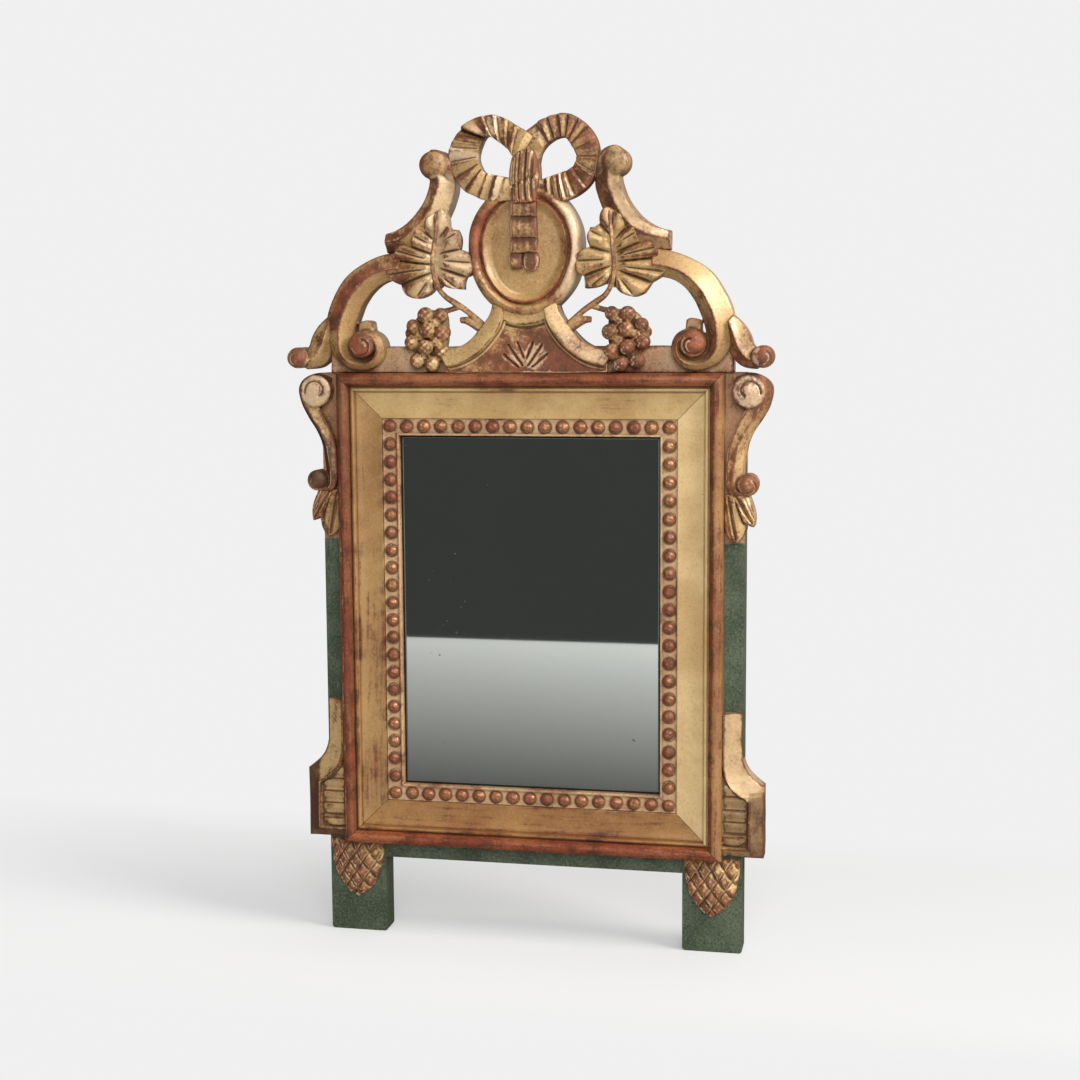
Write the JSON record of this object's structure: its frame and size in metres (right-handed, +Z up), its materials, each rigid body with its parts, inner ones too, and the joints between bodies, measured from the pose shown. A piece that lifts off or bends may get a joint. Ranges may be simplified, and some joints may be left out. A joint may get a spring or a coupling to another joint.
{
  "type": "wall mirror",
  "caption": "Wall mirror with a plate in a moulded gilt frame with pearl beading, an openwork carved crest, painted stiles that run down into feet, and a swinging hanging ring.",
  "frame": {"origin": "on the wall plane, which is the back face of the stiles, behind the middle of the hanging ring's bar on the mirror's centre line", "axes": "+X to the viewer's right, +Y towards the wall (the glass faces -Y), +Z up"},
  "size_m": [0.4032, 0.0445, 0.688],
  "materials": {
    "green_paint": "old dark green distemper paint, worn at the edges",
    "bare_wood": "unpainted aged softwood",
    "old_iron": "dark hand-worked iron with a dull sheen",
    "silvered_glass": "old silvered plate, faintly grey",
    "pearl_gilding": "gilt pearls worn to orange bole on a pale gesso ground",
    "moulding_gilding": "burnished gold leaf, worn to red bole on the half-round",
    "carved_gilding": "worn gold leaf over red bole and gesso on carved wood"
  },
  "bodies": {
    "mirror": {"backboard_lower": "bare_wood", "backboard_nails": "old_iron", "backboard_upper": "bare_wood", "beading_bottom": "pearl_gilding", "beading_left": "pearl_gilding", "beading_right": "pearl_gilding", "beading_top": "pearl_gilding", "bottom_rail": "green_paint", "bow_knot": "carved_gilding", "bow_loop_left": "carved_gilding", "bow_loop_right": "carved_gilding", "c_scroll_left": "carved_gilding", "c_scroll_right": "carved_gilding", "corner_block_left": "carved_gilding", "corner_block_right": "carved_gilding", "crest_arch_left": "carved_gilding", "crest_arch_right": "carved_gilding", "crest_base": "carved_gilding", "crest_dowels": "bare_wood", "crest_panel": "carved_gilding", "glazing_blocks": "bare_wood", "grapes_left": "carved_gilding", "grapes_right": "carved_gilding", "hanger_screws": "old_iron", "hanger_strap": "old_iron", "medallion": "carved_gilding", "mirror_plate": "silvered_glass", "moulding_bottom": "moulding_gilding", "moulding_left": "moulding_gilding", "moulding_right": "moulding_gilding", "moulding_top": "moulding_gilding", "outer_curl_left": "carved_gilding", "outer_curl_right": "carved_gilding", "pinecone_left": "carved_gilding", "pinecone_right": "carved_gilding", "ribbon_tail": "carved_gilding", "side_husk_left": "carved_gilding", "side_husk_right": "carved_gilding", "side_scroll_left": "carved_gilding", "side_scroll_right": "carved_gilding", "stile_left": "green_paint", "stile_right": "green_paint", "tenon_pegs": "bare_wood", "top_rail": "bare_wood", "upper_scroll_left": "carved_gilding", "upper_scroll_right": "carved_gilding", "vine_leaf_left": "carved_gilding", "vine_leaf_right": "carved_gilding", "vine_stem_left": "carved_gilding", "vine_stem_right": "carved_gilding"},
    "ring": {"hanger_ring": "old_iron"}
  },
  "joints": [
    {"name": "ring_swing", "type": "hinge", "parent": "mirror", "child": "ring", "pos_m": [0, -0.00309, 0], "axis": [1, 0, 0], "range_deg": [0, 170]}
  ]
}
